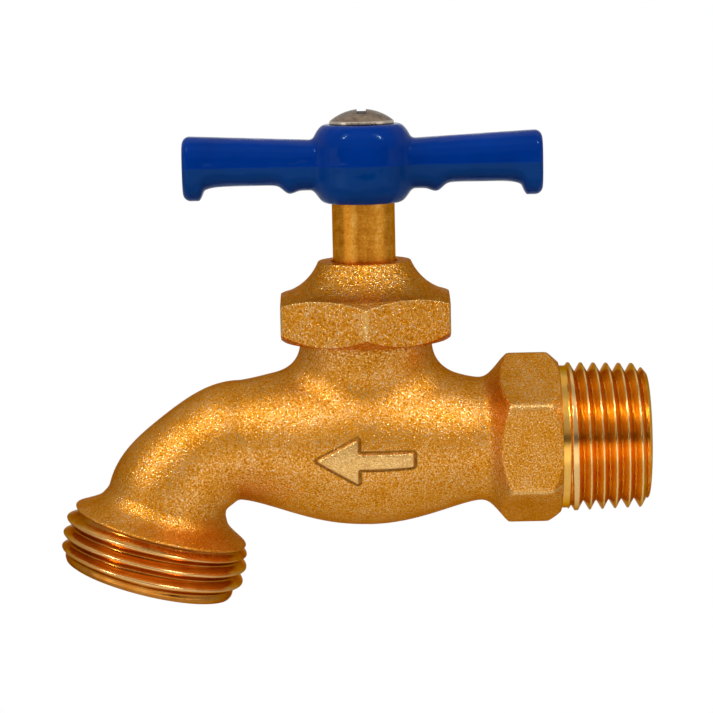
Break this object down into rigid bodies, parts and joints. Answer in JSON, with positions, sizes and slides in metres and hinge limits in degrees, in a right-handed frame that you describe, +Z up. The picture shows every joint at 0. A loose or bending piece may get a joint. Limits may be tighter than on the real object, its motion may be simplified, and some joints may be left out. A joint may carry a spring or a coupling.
{
  "type": "hose bib",
  "caption": "Cast brass garden tap with a male pipe-thread inlet and wrench hexagon, bent spout with hose thread, packing nut, rising screw stem and blue tee handle.",
  "frame": {"origin": "centre of the inlet's pipe end, where it screws into the supply pipe", "axes": "+X out of the pipe end along the inlet thread, towards the wall; +Z up along the stem; the spout points to -X and down"},
  "size_m": [0.0846, 0.0278, 0.07],
  "materials": {
    "cast_brass": "sandblasted casting, threads machined bright",
    "nut_brass": "sandblasted, grainy",
    "turned_brass": "satin, turned",
    "packing": "matt graphite",
    "washer_rubber": "matt",
    "blue_enamel": "gloss enamel on a casting",
    "nickel": "nickel plated"
  },
  "bodies": {
    "tap": {"valve_body": "cast_brass", "packing_nut": "nut_brass", "packing_ring": "packing", "friction_ring": "turned_brass"},
    "disc": {"disc_holder": "turned_brass", "seat_washer": "washer_rubber", "seat_screw": "turned_brass"},
    "spindle": {"stem": "turned_brass", "handle": "blue_enamel", "handle_screw": "nickel"}
  },
  "joints": [
    {"name": "stem_lift", "type": "slide", "parent": "tap", "child": "disc", "axis": [0, 0, 1], "range_m": [0, 0.00571]},
    {"name": "handle_turn", "type": "hinge", "parent": "disc", "child": "spindle", "pos_m": [-0.04, 0, 0.02], "axis": [0, 0, 1], "range_deg": [0, 810]}
  ],
  "couplings": [
    {"joint": "handle_turn", "follows": "stem_lift", "rad_per_m": 2473.7}
  ]
}
